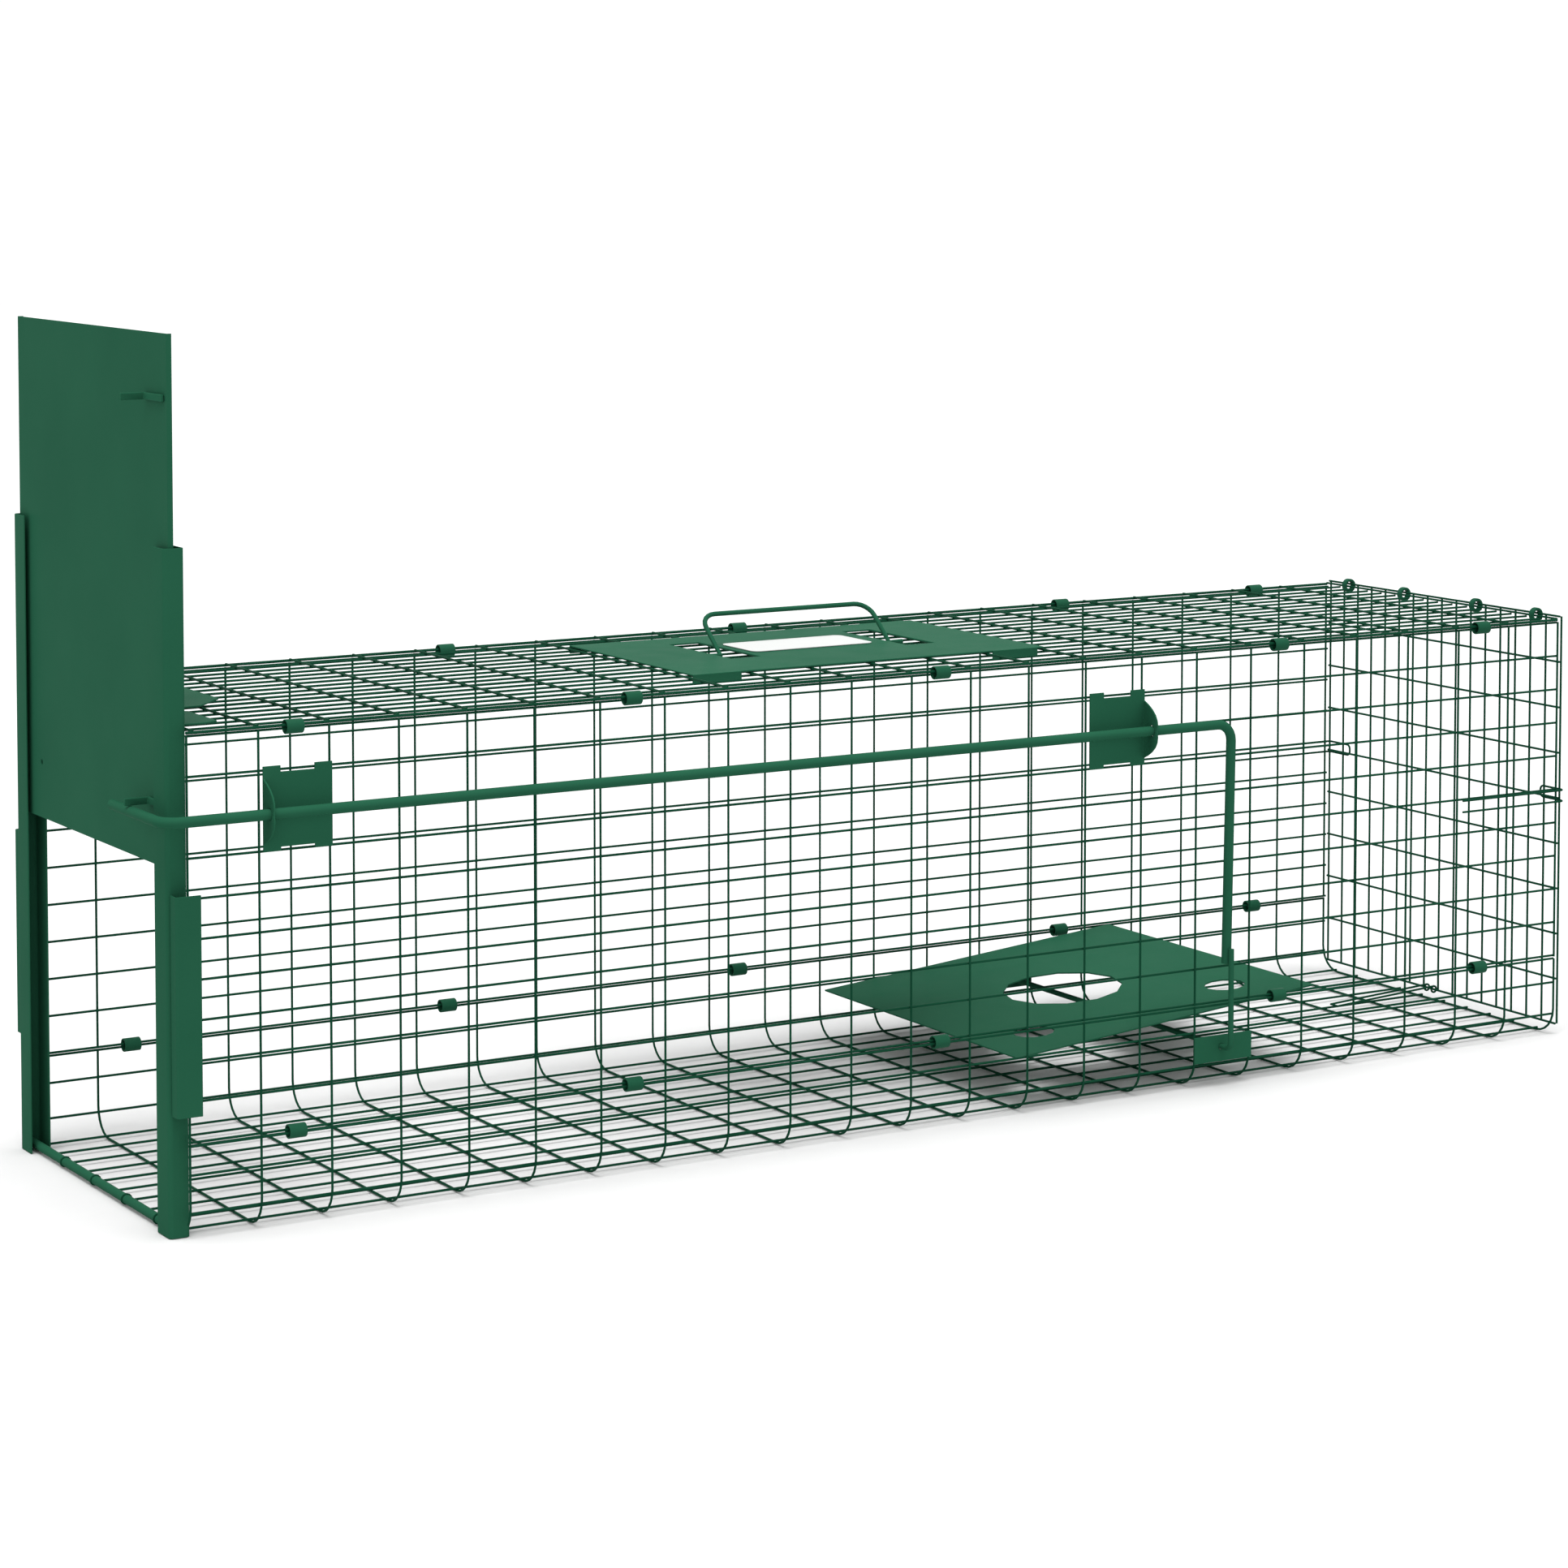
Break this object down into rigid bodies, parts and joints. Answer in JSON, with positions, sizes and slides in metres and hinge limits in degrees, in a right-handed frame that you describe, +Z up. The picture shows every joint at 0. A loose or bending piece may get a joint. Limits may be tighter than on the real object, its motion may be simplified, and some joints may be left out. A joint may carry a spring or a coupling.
{
  "type": "live catch trap",
  "caption": "Long wire-mesh live catch trap with a sliding sheet-steel drop door, a treadle, a trigger rod, a hinged rear door and a carry handle.",
  "frame": {"origin": "bottom centre of the whole trap's bounding box, on the floor it stands on", "axes": "+X towards the rear door, along the cage; +Z up; -Y towards the side that carries the trigger rod"},
  "size_m": [1.1352, 0.301, 0.5607],
  "materials": {
    "wire_green": "satin",
    "sheet_green": "satin",
    "clip_green": "satin",
    "label_white": "matte"
  },
  "bodies": {
    "cage": {"floor_tray": "wire_green", "side_panel_near": "wire_green", "side_panel_far": "wire_green", "top_panel": "wire_green", "clip_near_seam_1": "clip_green", "clip_near_seam_2": "clip_green", "clip_near_seam_3": "clip_green", "clip_near_seam_4": "clip_green", "clip_near_seam_5": "clip_green", "clip_near_eaves_1": "clip_green", "clip_near_eaves_2": "clip_green", "clip_near_eaves_3": "clip_green", "clip_near_eaves_4": "clip_green", "clip_near_eaves_5": "clip_green", "clip_far_seam_1": "clip_green", "clip_far_seam_2": "clip_green", "clip_far_seam_3": "clip_green", "clip_far_seam_4": "clip_green", "clip_far_seam_5": "clip_green", "clip_far_eaves_1": "clip_green", "clip_far_eaves_2": "clip_green", "clip_far_eaves_3": "clip_green", "clip_far_eaves_4": "clip_green", "clip_far_eaves_5": "clip_green", "hinge_ring_near_inner": "clip_green", "hinge_ring_near_outer": "clip_green", "hinge_ring_far_inner": "clip_green", "hinge_ring_far_outer": "clip_green", "door_guide_far": "sheet_green", "door_guide_near": "sheet_green", "guide_clamp_far": "sheet_green", "guide_clamp_near": "sheet_green", "sill_bar": "sheet_green", "top_bridge": "sheet_green", "rod_bracket_front": "sheet_green", "rod_bracket_rear": "sheet_green", "axle_plate_near": "sheet_green", "axle_plate_far": "sheet_green", "handle_plate": "sheet_green", "label_plate": "label_white"},
    "drop_door": {"drop_door": "sheet_green", "door_catch_lower": "sheet_green", "door_catch_upper": "sheet_green"},
    "trigger": {"trigger_rod": "sheet_green"},
    "treadle": {"treadle_plate": "sheet_green", "treadle_axle": "sheet_green"},
    "rear_door": {"rear_door": "wire_green"},
    "carry_handle": {"carry_handle": "sheet_green"},
    "latch_near": {"latch_near": "wire_green"},
    "latch_far": {"latch_far": "wire_green"},
    "latch_floor": {"latch_floor": "wire_green"}
  },
  "joints": [
    {"name": "door_drop", "type": "slide", "parent": "cage", "child": "drop_door", "axis": [0, 0, 1], "range_m": [-0.222, 0]},
    {"name": "trigger_turn", "type": "hinge", "parent": "cage", "child": "trigger", "pos_m": [0, -0.1438, 0.2629], "axis": [1, 0, 0], "range_deg": [-75, 0]},
    {"name": "treadle_tip", "type": "hinge", "parent": "cage", "child": "treadle", "pos_m": [0.24639, 0, 0.0286], "axis": [0, 1, 0], "range_deg": [0, 28]},
    {"name": "rear_door_swing", "type": "hinge", "parent": "cage", "child": "rear_door", "pos_m": [0.56399, 0, 0.318], "axis": [0, 1, 0], "range_deg": [-100, 0]},
    {"name": "handle_swing", "type": "hinge", "parent": "cage", "child": "carry_handle", "pos_m": [0, 0.01585, 0.3155], "axis": [1, 0, 0], "range_deg": [-26, 124]},
    {"name": "latch_near_swing", "type": "hinge", "parent": "cage", "child": "latch_near", "pos_m": [0.46839, -0.1338, 0.1823], "axis": [0, 0, 1], "range_deg": [-90, 0]},
    {"name": "latch_far_swing", "type": "hinge", "parent": "cage", "child": "latch_far", "pos_m": [0.46839, 0.1481, 0.1823], "axis": [0, 0, 1], "range_deg": [0, 90]},
    {"name": "latch_floor_lift", "type": "hinge", "parent": "cage", "child": "latch_floor", "pos_m": [0.46839, 0, 0.005], "axis": [0, 1, 0], "range_deg": [-60, 0]}
  ]
}
